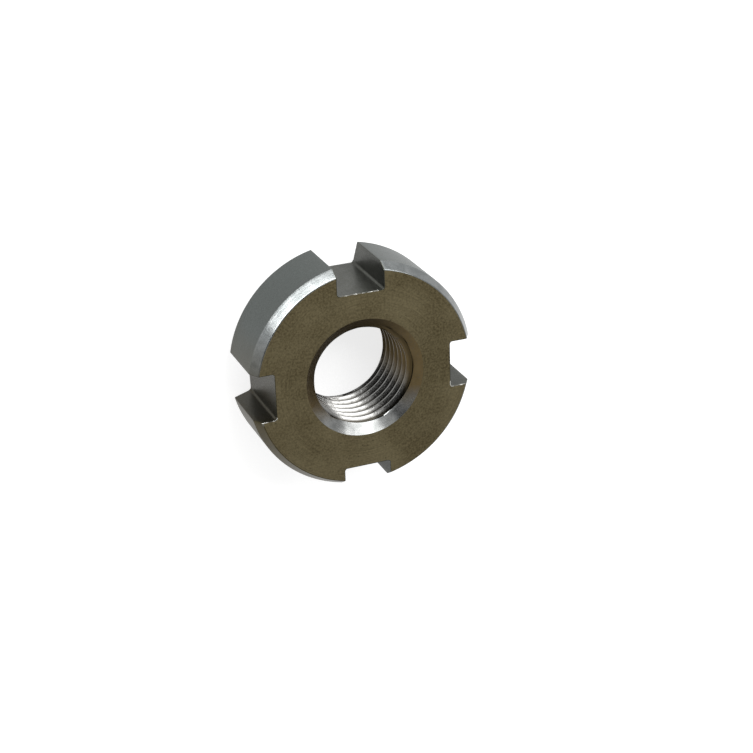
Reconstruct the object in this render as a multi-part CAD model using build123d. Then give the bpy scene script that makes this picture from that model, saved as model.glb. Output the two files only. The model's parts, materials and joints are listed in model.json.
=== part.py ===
from build123d import *
import math
import os

# A slotted round nut (castle nut) with an M10 x 1 thread, turned by a hook or pin spanner.
# Millimetres. +Z runs up the thread's axis, and the origin is on that axis at the underside,
# the face that seats on the joint.

# Turned blank
outer_diameter = 22.0
thickness = 8.0
bearing_diameter = 17.4  # flat ring left on the underside, inside its chamfer
lower_chamfer_angle = 30.0  # degrees, from the underside
upper_chamfer_height = 1.0  # along the axis
upper_chamfer_angle = 30.0  # degrees, from the axis
edge_radius = 0.12  # the turned outer edges are barely broken

# Tapped hole: the crests of the fine thread stand at the bore's wall
thread_diameter = 10.0  # over the roots
thread_depth = 0.44  # crest to root
upper_mouth_margin = 0.75  # how far the lead-in cone starts outside the thread
upper_mouth_depth = 1.06
lower_mouth_margin = 0.45
lower_mouth_depth = 0.8

# Spanner slots, milled from face to face in the rim
slot_count = 4
slot_width = 4.56
slot_depth = 2.4  # from the rim to the flat floor
slot_corner_radius = 0.25  # left by the cutter's corner, at the foot of each wall
slot_run_out_x = -0.12  # the slots' common centre lies this far off the turned axis
slot_run_out_y = -0.29
cutter_overrun = 1.0  # how far the cutter clears the rim and both faces

outer_radius = outer_diameter / 2
bearing_radius = bearing_diameter / 2
lower_chamfer_height = (outer_radius - bearing_radius) * math.tan(math.radians(lower_chamfer_angle))
face_radius = outer_radius - upper_chamfer_height * math.tan(math.radians(upper_chamfer_angle))
bore_radius = thread_diameter / 2 - thread_depth
upper_mouth_radius = thread_diameter / 2 + upper_mouth_margin
lower_mouth_radius = thread_diameter / 2 + lower_mouth_margin


def turned_blank():
    """The ring as it leaves the lathe: chamfered outside, bored and countersunk at both ends."""
    outer_corners = [
        (bearing_radius, 0),
        (outer_radius, lower_chamfer_height),
        (outer_radius, thickness - upper_chamfer_height),
        (face_radius, thickness),
    ]
    bore_corners = [
        (upper_mouth_radius, thickness),
        (bore_radius, thickness - upper_mouth_depth),
        (bore_radius, lower_mouth_depth),
        (lower_mouth_radius, 0),
    ]
    with BuildPart() as blank:
        with BuildSketch(Plane.XZ) as section:
            with BuildLine():
                Polyline(*outer_corners, *bore_corners, close=True)
            make_face()
            rim = section.vertices().filter_by(lambda corner: corner.X > (outer_radius + bearing_radius) / 2)
            fillet(rim, edge_radius)
        revolve(axis=Axis.Z)
    return blank.part


def slot_outline():
    """One slot seen from above, floor at the origin and open end outwards along X."""
    reach = slot_depth + cutter_overrun + math.hypot(slot_run_out_x, slot_run_out_y)
    with BuildSketch() as outline:
        Rectangle(reach, slot_width, align=(Align.MIN, Align.CENTER))
        floor_corners = outline.vertices().group_by(Axis.X)[0]
        fillet(floor_corners, slot_corner_radius)
    return outline.sketch


def slot_cutters():
    """The bars that mill the slots, evenly spaced about their own slightly shifted centre."""
    floor_distance = outer_radius - slot_depth
    with BuildPart() as cutters:
        with BuildSketch(Plane.XY.offset(-cutter_overrun)):
            with Locations((slot_run_out_x, slot_run_out_y)):
                with PolarLocations(floor_distance, slot_count):
                    add(slot_outline())
        extrude(amount=thickness + 2 * cutter_overrun)
    return cutters.part


os.makedirs("parts", exist_ok=True)
nut = turned_blank() - slot_cutters()
export_step(nut, "parts/slotted_nut.step")
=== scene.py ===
import json
import math

import bmesh
import bpy
from mathutils import Matrix, Quaternion, Vector


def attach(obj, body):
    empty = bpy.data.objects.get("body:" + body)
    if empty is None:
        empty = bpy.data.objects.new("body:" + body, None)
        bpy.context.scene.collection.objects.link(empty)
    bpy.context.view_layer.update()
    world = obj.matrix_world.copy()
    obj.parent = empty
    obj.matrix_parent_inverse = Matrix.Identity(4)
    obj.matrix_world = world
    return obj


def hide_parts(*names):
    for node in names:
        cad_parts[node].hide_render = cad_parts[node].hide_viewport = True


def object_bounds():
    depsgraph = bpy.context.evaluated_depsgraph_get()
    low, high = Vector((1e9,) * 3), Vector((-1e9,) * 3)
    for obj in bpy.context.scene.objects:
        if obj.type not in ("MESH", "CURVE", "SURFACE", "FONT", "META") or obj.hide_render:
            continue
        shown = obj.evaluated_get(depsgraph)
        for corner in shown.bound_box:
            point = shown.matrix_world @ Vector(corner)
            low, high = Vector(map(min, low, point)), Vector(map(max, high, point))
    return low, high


# A slotted round nut of bare steel. The nut's outside is built on the CAD solid's own sizes,
# and its thread is cut here. Metres, in the CAD frame: +Z is the thread's axis.

NUT = "slotted_nut"
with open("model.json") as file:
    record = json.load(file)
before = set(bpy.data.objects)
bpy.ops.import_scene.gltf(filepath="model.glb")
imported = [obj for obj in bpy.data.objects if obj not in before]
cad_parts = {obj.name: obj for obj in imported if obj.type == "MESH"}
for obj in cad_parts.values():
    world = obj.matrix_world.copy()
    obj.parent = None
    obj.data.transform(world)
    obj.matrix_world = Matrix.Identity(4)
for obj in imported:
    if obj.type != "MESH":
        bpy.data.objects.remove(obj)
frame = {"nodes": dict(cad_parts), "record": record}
cad_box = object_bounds()
bottom, top = cad_box[0].z, cad_box[1].z
corners = [vertex.co.copy() for vertex in frame["nodes"][NUT].data.vertices]
MM = 0.001
near = 0.001 * MM  # corners this close to a line or a plane lie on it
weld = 0.0001 * MM  # vertices this close become one
straightness = 1e-9  # an edge that drifts sideways by less runs along an axis

# Thread
pitch = 1.0 * MM
root_radius = 5.0 * MM
crest_flat = 0.17 * MM
crest_share = 0.6  # an extra row this far across the crest keeps its shading flat
root_flat = 0.14 * MM
flank_steps = 4
start_turn = -0.29  # where the thread starts, in turns about the axis from +X

# Edges
edge_break = 0.05 * MM  # the milled edges are barely broken
burr_height = 1.5 * edge_break  # how far down from the upper face the burred edges reach

slot_count = 4
# These slot edges carry a bright colour that is a painted highlight, partly wear on their burrs.
burrs_with_painted_highlight = [(0, "right"), (1, "floor"), (2, "left")]  # slots count anticlockwise from +X

# Mesh fineness
arc_steps = 40  # along the rim from slot to slot
wall_steps = 4
floor_steps = 12
bend_steps = 8  # round a slot's inner corner
break_steps = 3  # round a broken edge
bore_steps = 216  # round the bore
chamfer_steps = 8  # up the bearing side's chamfer
guard = 0.06 * MM  # extra rows this close to a corner keep the shading of the flats even
shallow = 0.1  # a wall that leans by more than this, sideways to upwards, is a chamfer
cone_margin = 0.03 * MM  # faces this close to a mouth's cone belong to it
wider = 1.002  # a mouth starts where its cone is this much wider than the crests
sharp_angle = 25  # degrees


def radius_of(point):
    return math.hypot(point.x, point.y)


def bore_mount_radius():
    """The wall at the thread's crests, as the record states it."""
    mount = next(m for m in frame["record"]["mounts"] if m["name"] == "thread")
    return mount["dims"]["r_mm"] * MM


crest_radius = bore_mount_radius()
between = 1.5 * crest_radius  # every corner inside this radius belongs to the bore


def section(points, widest):
    """Radius against height, as sorted pairs: of the outside where widest is true, else of the bore."""
    found = {}
    for point in points:
        height, radius = round(point.z, 6), radius_of(point)
        if (radius > between) == widest:
            choose = max if widest else min
            found[height] = choose(found.get(height, radius), radius)
    return sorted(found.items())


def radius_at(profile, height):
    """The radius at a height, in a straight line between the section's corners."""
    for (low, low_radius), (high, high_radius) in zip(profile, profile[1:]):
        if low <= height <= high:
            return low_radius + (high_radius - low_radius) * (height - low) / (high - low)
    return profile[-1][1]


outside = section(corners, widest=True)
mouths = section(corners, widest=False)
rim_radius = max(radius for height, radius in outside)


def measure_slot(turn):
    """One slot's floor, walls and corner radius, in a frame turned so that it opens along +X."""
    turned = [Matrix.Rotation(-turn, 3, "Z") @ point for point in corners]
    rim = [p.y for p in turned if p.x > 0 and radius_of(p) > rim_radius - near]
    left, right = min(y for y in rim if y > 0), max(y for y in rim if y < 0)
    upper = [p for p in turned if abs(p.z - top) < near and p.x > between]
    edge = [p for p in upper if right - near < p.y < left + near]
    floor = min(p.x for p in edge)
    bend = left - max(p.y for p in edge if p.x < floor + near)
    return floor, right, left, bend


slots = [measure_slot(math.tau * i / slot_count) for i in range(slot_count)]


def corner_arc(centre, radius, start, end, steps):
    """Points on an arc, ends included."""
    angles = [start + (end - start) * i / steps for i in range(steps + 1)]
    return [Vector((centre[0] + radius * math.cos(a), centre[1] + radius * math.sin(a))) for a in angles]


def straight(start, end, steps):
    """Points strictly between two ends."""
    return [start.lerp(end, i / steps) for i in range(1, steps)]


def slot_path(slot, radius, inset):
    """A slot's outline from rim to rim, anticlockwise, with its edges drawn back into the steel by inset."""
    floor, right, left, bend = slot
    floor, right, left, bend = floor - inset, right - inset, left + inset, bend + inset
    broken = edge_break
    reach_right = math.sqrt((radius - broken) ** 2 - (right - broken) ** 2)
    reach_left = math.sqrt((radius - broken) ** 2 - (left + broken) ** 2)
    lean_right = math.atan2(right - broken, reach_right)
    lean_left = math.atan2(left + broken, reach_left)
    rim_in = corner_arc((reach_right, right - broken), broken, lean_right, math.pi / 2, break_steps)
    rim_out = corner_arc((reach_left, left + broken), broken, -math.pi / 2, lean_left, break_steps)
    bend_in = corner_arc((floor + bend, right + bend), bend, -math.pi / 2, -math.pi, bend_steps)
    bend_out = corner_arc((floor + bend, left - bend), bend, math.pi, math.pi / 2, bend_steps)
    wall_in = straight(rim_in[-1], bend_in[0], wall_steps)
    wall_out = straight(bend_out[-1], rim_out[0], wall_steps)
    across = straight(bend_in[-1], bend_out[0], floor_steps)
    right_side, left_side = rim_in + wall_in + bend_in, bend_out + wall_out + rim_out
    sides = (("right", right_side), ("floor", across), ("left", left_side))
    return [(point, side) for side, points in sides for point in points]


def outline(radius, inset):
    """The nut's outline at one height, all the way round: (point, "rim" or the slot's number and side)."""
    paths = []
    for i, slot in enumerate(slots):
        turn = Matrix.Rotation(math.tau * i / slot_count, 2)
        paths.append([(turn @ point, (i, side)) for point, side in slot_path(slot, radius, inset)])
    loop = []
    for i, path in enumerate(paths):
        last, after = path[-1][0], paths[(i + 1) % slot_count][0][0]
        start, end = math.atan2(last.y, last.x), math.atan2(after.y, after.x)
        end += math.tau if end < start else 0
        rim = corner_arc((0, 0), radius, start, end, arc_steps)[1:-1]
        loop += path + [(point, "rim") for point in rim]
    return [(p * min(1, radius / p.length), place) for p, place in loop]


def outside_levels():
    """(height, radius, inset) from the underside up: the CAD section, with the slots' edges broken."""
    breaks = [math.pi / 2 * i / break_steps for i in range(break_steps + 1)]
    levels = {round(edge_break * (1 - math.sin(a)), 7): edge_break * (1 - math.cos(a)) for a in breaks}
    levels |= {round(top - height, 7): inset for height, inset in levels.items()}
    heights = set(levels) | {height for height, radius in outside}
    shoulder = outside[1][0]
    heights |= {bottom + shoulder * i / chamfer_steps for i in range(1, chamfer_steps)}
    joints = [h for h, radius in outside]
    for low, high in zip(joints, joints[1:]):
        if high - low > 4 * guard:
            heights |= {low + guard, high - guard}
    return [(h, radius_at(outside, h), levels.get(h, 0.0)) for h in sorted(heights)]


# Materials' places in the nut's list
FACE, BARREL, CHAMFER, SLOT, MOUTH, THREAD, UNDERSIDE, EDGE = range(8)


def wall_material(place, next_place, steep, height):
    """The material of a wall's face, from where its outline lies and how it leans."""
    # The burred edges near the upper face get the bright colour of a painted highlight.
    if place in burrs_with_painted_highlight and height > top - burr_height:
        return EDGE
    if place != "rim" and next_place != "rim":
        return SLOT
    return CHAMFER if steep else BARREL


def build_outside(bm):
    """The outside walls, from the underside's edge to the upper face's edge."""
    rows = []
    levels = outside_levels()
    for height, radius, inset in levels:
        loop = outline(radius, inset)
        rows.append([(bm.verts.new((p.x, p.y, height)), place) for p, place in loop])
    for (lower, upper), (low, high) in zip(zip(rows, rows[1:]), zip(levels, levels[1:])):
        steep = abs(high[1] - low[1]) > shallow * (high[0] - low[0])
        for i, (start, place) in enumerate(lower):
            j = (i + 1) % len(lower)
            end, next_place = lower[j]
            face = bm.faces.new((start, end, upper[j][0], upper[i][0]))
            along = end.co - start.co
            face.smooth = place == "rim" or min(abs(along.x), abs(along.y)) > straightness
            face.material_index = wall_material(place, next_place, steep, high[0])


def groove_rows():
    """The thread's section over one pitch: (share of the pitch, depth of the groove)."""
    depth = root_radius - crest_radius
    flank_start = crest_flat / 2 / pitch
    flank_end = 0.5 - root_flat / 2 / pitch
    half = [(0.0, 0.0), (flank_start * crest_share, 0.0)]
    for i in range(flank_steps + 1):
        share = i / flank_steps
        half.append((flank_start + (flank_end - flank_start) * share, depth * share))
    return half + [(0.5, depth)] + [(1 - share, d) for share, d in reversed(half[1:])]


def build_bore(bm):
    """The threaded bore and its two mouths, on rows that follow the helix."""
    rows = groove_rows()
    turns = range(-2, math.ceil((top - bottom) / pitch) + 2)
    heights = [(turn + share, depth) for turn in turns for share, depth in rows]
    columns = []
    for i in range(bore_steps):
        angle = math.tau * i / bore_steps
        column = []
        for share, depth in heights:
            z = min(max(bottom + pitch * (share + start_turn + i / bore_steps), bottom), top)
            radius = max(crest_radius + depth, radius_at(mouths, z))
            column.append(bm.verts.new((radius * math.cos(angle), radius * math.sin(angle), z)))
        columns.append(column)
    # After a full turn the helix has climbed one pitch, so the first column is met one pitch higher.
    following = columns[1:] + [columns[0][len(rows):]]
    for column, after in zip(columns, following):
        for a, b, c, d in zip(column, column[1:], after[1:], after):
            face = bm.faces.new((a, b, c, d))
            face.smooth = True


def close_end(bm, height, upward, material_index):
    """The flat face between the outside and the bore at one height."""
    rim = [e for e in bm.edges if e.is_boundary and all(abs(v.co.z - height) < weld for v in e.verts)]
    filled = bmesh.ops.triangle_fill(bm, edges=rim, use_beauty=True, normal=(0, 0, upward))
    for face in filled["geom"]:
        if isinstance(face, bmesh.types.BMFace):
            face.smooth = False
            face.material_index = material_index


def mark_bore(bm):
    """Gives the bore's faces their materials: the mouths on the cones, the thread between."""
    for face in bm.faces:
        centre = face.calc_center_median()
        if radius_of(centre) < between and face.smooth:
            cone_radius = radius_at(mouths, centre.z)
            on_cone = abs(radius_of(centre) - cone_radius) < cone_margin
            face.material_index = MOUTH if cone_radius > crest_radius * wider and on_cone else THREAD


def build_nut():
    bm = bmesh.new()
    build_outside(bm)
    build_bore(bm)
    bmesh.ops.remove_doubles(bm, verts=bm.verts[:], dist=weld)
    bmesh.ops.dissolve_degenerate(bm, edges=bm.edges[:], dist=weld)
    loose = [e for e in bm.edges if not e.link_faces]
    bmesh.ops.delete(bm, geom=loose, context="EDGES")
    close_end(bm, bottom, -1, UNDERSIDE)
    close_end(bm, top, 1, FACE)
    bmesh.ops.recalc_face_normals(bm, faces=bm.faces[:])
    mark_bore(bm)
    mesh = bpy.data.meshes.new("threaded_nut")
    bm.to_mesh(mesh)
    bm.free()
    return mesh


class Nodes:
    """Short names for the shader nodes that the steel is made with."""

    def __init__(self, material):
        self.tree = material.node_tree
        self.shader = self.tree.nodes["Principled BSDF"]
        self.place = self.tree.nodes.new("ShaderNodeTexCoord").outputs["Object"]

    def add(self, kind, **settings):
        node = self.tree.nodes.new(kind)
        for name, value in settings.items():
            setattr(node, name, value)
        return node

    def plug(self, value, socket):
        if isinstance(value, bpy.types.NodeSocket):
            self.tree.links.new(value, socket)
        else:
            socket.default_value = value

    def math(self, operation, a, b=0.0):
        node = self.add("ShaderNodeMath", operation=operation)
        self.plug(a, node.inputs[0])
        self.plug(b, node.inputs[1])
        return node.outputs[0]

    def axes(self):
        node = self.add("ShaderNodeSeparateXYZ")
        self.plug(self.place, node.inputs[0])
        return node.outputs

    def radius(self):
        x, y, _ = self.axes()
        squares = self.math("ADD", self.math("MULTIPLY", x, x), self.math("MULTIPLY", y, y))
        return self.math("SQRT", squares)

    def angle(self):
        x, y, _ = self.axes()
        return self.math("ARCTAN2", y, x)

    def noise(self, size, detail, place=None):
        """Cloudy noise from 0 to 1 whose lumps are about size across."""
        node = self.add("ShaderNodeTexNoise")
        self.plug(place or self.place, node.inputs["Vector"])
        self.plug(1 / size, node.inputs["Scale"])
        self.plug(detail, node.inputs["Detail"])
        self.plug(0.6, node.inputs["Roughness"])
        return node.outputs["Fac"]

    def lines(self, along, width, across=0.0, stretch=0.0):
        """Tool marks: noise that changes fast with one value and slowly with another."""
        node = self.add("ShaderNodeCombineXYZ")
        self.plug(self.math("DIVIDE", along, width), node.inputs[0])
        self.plug(self.math("MULTIPLY", across, stretch), node.inputs[1])
        return self.noise(1.0, 3.0, node.outputs[0])

    def spread(self, value, low, high, to_low=0.0, to_high=1.0):
        node = self.add("ShaderNodeMapRange")
        for socket, number in zip(node.inputs, (value, low, high, to_low, to_high)):
            self.plug(number, socket)
        return node.outputs[0]

    def blend(self, share, first, second):
        node = self.add("ShaderNodeMix", data_type="RGBA")
        self.plug(share, node.inputs[0])
        self.plug(first if isinstance(first, bpy.types.NodeSocket) else (*first, 1), node.inputs[6])
        self.plug(second if isinstance(second, bpy.types.NodeSocket) else (*second, 1), node.inputs[7])
        return node.outputs[2]

    def bump(self, height, depth, strength=1.0, under=None):
        node = self.add("ShaderNodeBump")
        self.plug(height, node.inputs["Height"])
        self.plug(depth, node.inputs["Distance"])
        self.plug(strength, node.inputs["Strength"])
        if under:
            self.plug(under, node.inputs["Normal"])
        return node.outputs[0]

    def finish(self, colour, roughness, normal):
        self.plug(1.0, self.shader.inputs["Metallic"])
        self.plug(colour, self.shader.inputs["Base Color"])
        self.plug(roughness, self.shader.inputs["Roughness"])
        self.plug(normal, self.shader.inputs["Normal"])


def new_material(name):
    material = bpy.data.materials.new(name)
    material.use_nodes = True
    return material, Nodes(material)


def turned_face(name, dark, light):
    """A faced end: olive film in clouds, faint rings from the tool, fine grey specks."""
    material, n = new_material(name)
    clouds = n.spread(n.noise(5.0 * MM, 6.0), 0.38, 0.62)
    grain = n.spread(n.noise(0.2 * MM, 3.0), 0.35, 0.65)
    rings = n.lines(n.radius(), 0.09 * MM, n.angle(), 1.5)
    colour = n.blend(clouds, dark, light)
    colour = n.blend(n.math("MULTIPLY", grain, 0.45), colour, [c * 1.75 for c in light])
    colour = n.blend(n.spread(rings, 0.45, 0.75, 0.0, 0.35), colour, [c * 0.55 for c in dark])
    specks = n.spread(n.noise(0.35 * MM, 2.0), 0.66, 0.74)
    colour = n.blend(n.math("MULTIPLY", specks, 0.5), colour, [c * 0.4 for c in dark])
    rough = n.spread(grain, 0.0, 1.0, 0.38, 0.55)
    normal = n.bump(rings, 0.004 * MM, 0.5)
    n.finish(colour, rough, n.bump(grain, 0.006 * MM, 0.5, normal))
    return material


def turned_side(name, dark, light, warm):
    """The barrel: close turning lines round it, grey, with an olive tint in clouds, stronger towards -X and
    -Y, painted as a reflection of warm surroundings.
    """
    material, n = new_material(name)
    x, y, z = n.axes()
    lines = n.lines(z, 0.06 * MM, n.angle(), 3.0)
    grain = n.spread(n.noise(0.14 * MM, 3.0), 0.3, 0.7)
    # Painted reflection: an olive tint in clouds, stronger towards -X and -Y, stands in for warm
    # surroundings mirrored in the barrel.
    cloud = n.math("MULTIPLY", n.noise(2.5 * MM, 4.0), 6 * MM)
    away = n.math("ADD", x, n.math("MULTIPLY", y, 2.0))
    painted_warm_reflection = n.spread(n.math("SUBTRACT", cloud, away), 2 * MM, 14 * MM)
    colour = n.blend(grain, dark, light)
    colour = n.blend(painted_warm_reflection, colour, warm)
    colour = n.blend(n.spread(lines, 0.35, 0.7, 0.0, 0.2), colour, [c * 1.5 for c in light])
    rough = n.spread(lines, 0.2, 0.8, 0.35, 0.5)
    normal = n.bump(lines, 0.005 * MM, 0.6)
    n.finish(colour, rough, n.bump(grain, 0.006 * MM, 0.4, normal))
    return material


def cut_with_painted_highlight(name, dark, light, film, toward, reach, width):
    """A chamfer or mouth: a painted highlight toward one side, where the steel is lighter and smoother, and
    browner away from it under an oily film that is partly a painted warm reflection.
    """
    material, n = new_material(name)
    x, y, z = n.axes()
    lines = n.lines(z, width, n.angle(), 2.0)
    flecks = n.spread(n.noise(0.15 * MM, 2.0), 0.55, 0.75)
    streaks = n.spread(n.noise(1.2 * MM, 4.0), 0.35, 0.7)
    # Painted highlight: the steel turns lighter and smoother past reach along toward; short of it an oily
    # film browns and darkens it, partly as a painted warm reflection.
    side = n.math("ADD", n.math("MULTIPLY", x, toward[0]), n.math("MULTIPLY", y, toward[1]))
    ragged = n.math("MULTIPLY", n.noise(1.5 * MM, 4.0), 1.5 * MM)
    painted_highlight_side = n.spread(n.math("ADD", side, ragged), reach[0], reach[1])
    colour = n.blend(streaks, light, dark)
    colour = n.blend(painted_highlight_side, n.blend(streaks, film, [c * 0.75 for c in film]), colour)
    colour = n.blend(n.math("MULTIPLY", flecks, 0.3), colour, [c * 0.7 for c in dark])
    rough = n.spread(painted_highlight_side, 0.0, 1.0, 0.36, 0.2)
    normal = n.bump(lines, 0.003 * MM, 0.4)
    n.finish(colour, rough, n.bump(flecks, 0.004 * MM, 0.3, normal))
    return material


def milled(name, dark, light, film):
    """Slot walls and floors: slanting marks from the side of the cutter, with a film toward -X."""
    material, n = new_material(name)
    x, y, z = n.axes()
    slant = n.math("ADD", z, n.math("MULTIPLY", n.math("ADD", x, y), 0.45))
    lines = n.lines(slant, 0.11 * MM, n.math("SUBTRACT", x, y), 250.0)
    grain = n.spread(n.noise(0.15 * MM, 3.0), 0.3, 0.7)
    clouds = n.spread(n.noise(1.8 * MM, 3.0), 0.35, 0.65)
    colour = n.blend(clouds, dark, light)
    colour = n.blend(n.math("MULTIPLY", grain, 0.35), colour, [c * 1.6 for c in light])
    colour = n.blend(n.spread(lines, 0.5, 0.75, 0.0, 0.35), colour, [c * 1.7 for c in light])
    covered = n.spread(n.math("MULTIPLY", x, -1), 8.0 * MM, 8.4 * MM)
    colour = n.blend(n.math("MULTIPLY", covered, n.spread(clouds, 0.0, 1.0, 0.5, 1.0)), colour, film)
    rough = n.spread(grain, 0.0, 1.0, 0.32, 0.48)
    normal = n.bump(lines, 0.005 * MM, 0.5)
    n.finish(colour, rough, n.bump(grain, 0.005 * MM, 0.4, normal))
    return material


def cut_thread(name, crest, root, film, toward, reach):
    """The tapped thread: crests of plain steel, roots darkened by painted shade, drag lines along the helix,
    a film on one side.
    """
    material, n = new_material(name)
    x, y, z = n.axes()
    # Painted shade: the groove darkens from just inside the crests down to the roots, and turns browner on
    # the film's side.
    painted_root_shade = n.spread(n.radius(), crest_radius + 0.1 * MM, root_radius - 0.14 * MM)
    angle = n.angle()
    rise = n.math("SUBTRACT", z, n.math("MULTIPLY", angle, pitch / math.tau))
    drag = n.lines(rise, 0.05 * MM, angle, 5.0)
    torn = n.spread(n.noise(0.3 * MM, 4.0), 0.54, 0.66)
    side = n.math("ADD", n.math("MULTIPLY", x, toward[0]), n.math("MULTIPLY", y, toward[1]))
    covered = n.spread(side, reach[0], reach[1])
    colour = n.blend(covered, crest, film)
    colour = n.blend(n.spread(drag, 0.5, 0.7, 0.0, 0.5), colour, [c * 0.3 for c in crest])
    colour = n.blend(n.math("MULTIPLY", torn, 0.35), colour, [c * 0.3 for c in crest])
    painted_root_shade_colour = n.blend(covered, root, [c * 0.6 for c in film])
    colour = n.blend(painted_root_shade, colour, painted_root_shade_colour)
    rough = n.math("ADD", n.spread(drag, 0.3, 0.7, 0.12, 0.24), n.math("MULTIPLY", covered, 0.2))
    normal = n.bump(drag, 0.004 * MM, 0.5)
    n.finish(colour, rough, n.bump(torn, 0.01 * MM, 0.4, normal))
    return material


def edge_wear_and_painted_highlight(name, colour, bright):
    """The thin broken edges: bright in places, partly as wear and partly as a painted highlight."""
    material, n = new_material(name)
    # Painted highlight: the edges turn bright in noisy places, partly standing for wear.
    wear_and_painted_highlight = n.spread(n.noise(0.6 * MM, 4.0), 0.48, 0.58)
    grit = n.noise(0.06 * MM, 3.0)
    n.finish(n.blend(wear_and_painted_highlight, colour, bright), 0.3, n.bump(grit, 0.01 * MM, 0.5))
    return material


mesh = build_nut()
for material in (
    turned_face("turned_face", (0.055, 0.044, 0.022), (0.098, 0.082, 0.046)),
    # the barrel: dark and light grey, then the olive tint of its painted warm reflection
    turned_side("turned_barrel", (0.037, 0.043, 0.04), (0.064, 0.073, 0.069), (0.046, 0.038, 0.019)),
    cut_with_painted_highlight(
        "turned_chamfer",
        dark=(0.10, 0.108, 0.108),
        light=(0.17, 0.178, 0.178),
        film=(0.055, 0.045, 0.023),
        # the painted highlight falls toward +X+2Y, the film with its painted warm reflection away from it
        toward=(1, 2),
        reach=(-12 * MM, 2 * MM),
        width=0.08 * MM,
    ),
    milled("milled_slot", (0.024, 0.025, 0.019), (0.04, 0.042, 0.035), (0.03, 0.025, 0.012)),
    cut_with_painted_highlight(
        "countersink",
        dark=(0.12, 0.124, 0.122),
        light=(0.22, 0.224, 0.22),
        film=(0.115, 0.084, 0.04),
        # the painted highlight falls toward -Y, the film on the other sides
        toward=(0, -1),
        reach=(2.6 * MM, 4.8 * MM),
        width=0.05 * MM,
    ),
    cut_thread(
        "cut_thread",
        crest=(0.24, 0.238, 0.23),
        # the painted shade at the thread's roots
        root=(0.022, 0.02, 0.016),
        film=(0.1, 0.073, 0.034),
        toward=(0.82, 0.57),
        reach=(1.5 * MM, 3.6 * MM),
    ),
    turned_face("underside", (0.085, 0.074, 0.048), (0.12, 0.108, 0.078)),
    # the broken edges: dark steel and the bright colour of their painted highlight
    edge_wear_and_painted_highlight("broken_edge_wear_and_highlight", (0.09, 0.085, 0.07), (0.55, 0.55, 0.52)),
):
    mesh.materials.append(material)
nut = bpy.data.objects.new("threaded_nut", mesh)
bpy.context.scene.collection.objects.link(nut)
mesh.set_sharp_from_angle(angle=math.radians(sharp_angle))
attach(nut, "root")
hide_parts(NUT)


# Studio
def spherical(azimuth, elevation):
    """A direction: azimuth 0 points along -Y and 90 along +X, as for the views; degrees."""
    a, e = math.radians(azimuth), math.radians(elevation)
    return Vector((math.sin(a) * math.cos(e), -math.cos(a) * math.cos(e), math.sin(e)))


floor_glow = 0.75  # what the camera and metal see of the floor besides its own light


def make_floor():
    bm = bmesh.new()
    bmesh.ops.create_grid(bm, x_segments=1, y_segments=1, size=3.0)
    mesh = bpy.data.meshes.new("floor")
    bm.to_mesh(mesh)
    bm.free()
    floor = bpy.data.objects.new("floor", mesh)
    floor.location.z = bottom
    bpy.context.scene.collection.objects.link(floor)
    material, n = new_material("floor")
    n.plug((0.4, 0.4, 0.4, 1), n.shader.inputs["Base Color"])
    n.plug(0.9, n.shader.inputs["Roughness"])
    path = n.add("ShaderNodeLightPath")
    seen = n.math("MAXIMUM", path.outputs["Is Camera Ray"], path.outputs["Is Glossy Ray"])
    n.plug((1, 1, 1, 1), n.shader.inputs["Emission Color"])
    n.plug(n.math("MULTIPLY", seen, floor_glow), n.shader.inputs["Emission Strength"])
    mesh.materials.append(material)


def make_lamp(name, azimuth, elevation, distance, size, power):
    lamp = bpy.data.lights.new(name, "AREA")
    lamp.shape = "RECTANGLE"
    lamp.size, lamp.size_y = size
    lamp.energy = power
    obj = bpy.data.objects.new(name, lamp)
    direction = spherical(azimuth, elevation)
    obj.location = direction * distance
    obj.rotation_mode = "QUATERNION"
    obj.rotation_quaternion = direction.to_track_quat("Z", "Y")
    bpy.context.scene.collection.objects.link(obj)


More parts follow.
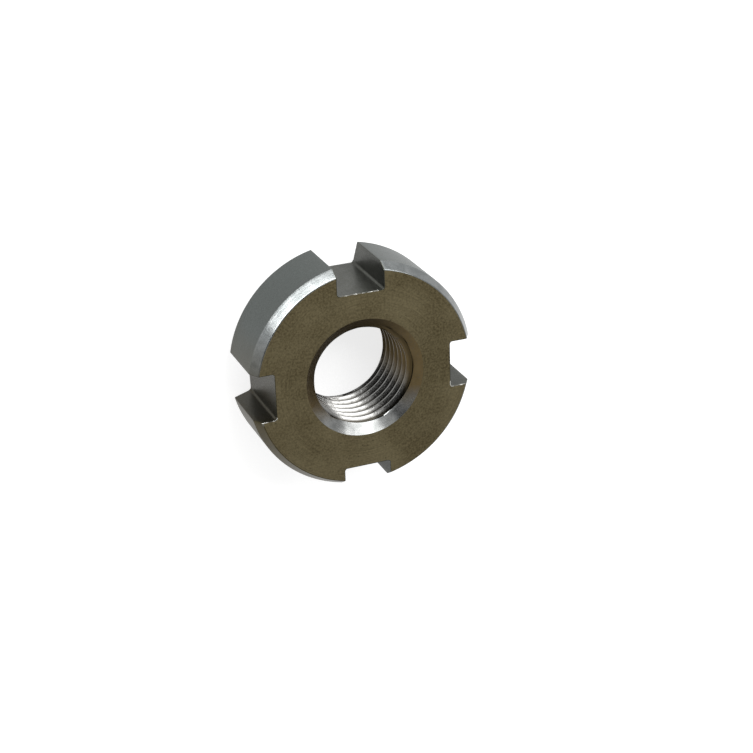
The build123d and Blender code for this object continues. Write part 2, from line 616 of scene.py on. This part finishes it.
def make_card(name, azimuth, elevation, distance, size):
    """A dark card beside the studio's white, which only mirror-like steel sees."""
    bm = bmesh.new()
    bmesh.ops.create_grid(bm, x_segments=1, y_segments=1, size=0.5)
    mesh = bpy.data.meshes.new(name)
    bm.to_mesh(mesh)
    bm.free()
    card = bpy.data.objects.new(name, mesh)
    direction = spherical(azimuth, elevation)
    card.location = direction * distance
    card.scale = (size, size, 1)
    card.rotation_mode = "QUATERNION"
    card.rotation_quaternion = direction.to_track_quat("Z", "Y")
    card.visible_camera = card.visible_diffuse = card.visible_shadow = card.visible_transmission = False
    material, n = new_material(name)
    n.plug((0.01, 0.01, 0.01, 1), n.shader.inputs["Base Color"])
    mesh.materials.append(material)
    bpy.context.scene.collection.objects.link(card)


def make_world():
    world = bpy.data.worlds.new("studio")
    bpy.context.scene.world = world
    world.use_nodes = True
    nodes, links = world.node_tree.nodes, world.node_tree.links
    background = nodes["Background"]
    path = nodes.new("ShaderNodeLightPath")
    seen = nodes.new("ShaderNodeMath")
    seen.operation = "MAXIMUM"
    links.new(path.outputs["Is Camera Ray"], seen.inputs[0])
    links.new(path.outputs["Is Glossy Ray"], seen.inputs[1])
    strength = nodes.new("ShaderNodeMapRange")
    strength.inputs["To Min"].default_value = 0.5
    strength.inputs["To Max"].default_value = 1.0
    links.new(seen.outputs[0], strength.inputs["Value"])
    links.new(strength.outputs[0], background.inputs["Strength"])
    background.inputs["Color"].default_value = (1, 1, 1, 1)


def make_camera():
    """Looks down on the nut from behind it, turned as the nut lies in its picture."""
    azimuth, elevation, roll = 219.02, 58.82, 134.45  # degrees
    distance = 164.07 * MM
    aim = Vector((2.59, -1.97, 4.0)) * MM
    data = bpy.data.cameras.new("camera")
    data.sensor_width = 36.0
    data.lens = 82.81
    data.clip_start, data.clip_end = 0.01, 10.0
    camera = bpy.data.objects.new("camera", data)
    back = spherical(azimuth, elevation)
    camera.location = aim + back * distance
    camera.rotation_mode = "QUATERNION"
    camera.rotation_quaternion = back.to_track_quat("Z", "Y") @ Quaternion((0, 0, 1), math.radians(roll))
    bpy.context.scene.collection.objects.link(camera)
    bpy.context.scene.camera = camera


make_floor()
make_world()
make_camera()
make_lamp("key", azimuth=150, elevation=45, distance=0.5, size=(0.42, 0.36), power=2.6)
make_lamp("strip", azimuth=190, elevation=8, distance=0.3, size=(0.77, 0.08), power=3.4)
make_card("dark_card", azimuth=238, elevation=62, distance=0.35, size=0.3)
bpy.context.scene.view_settings.view_transform = "Standard"
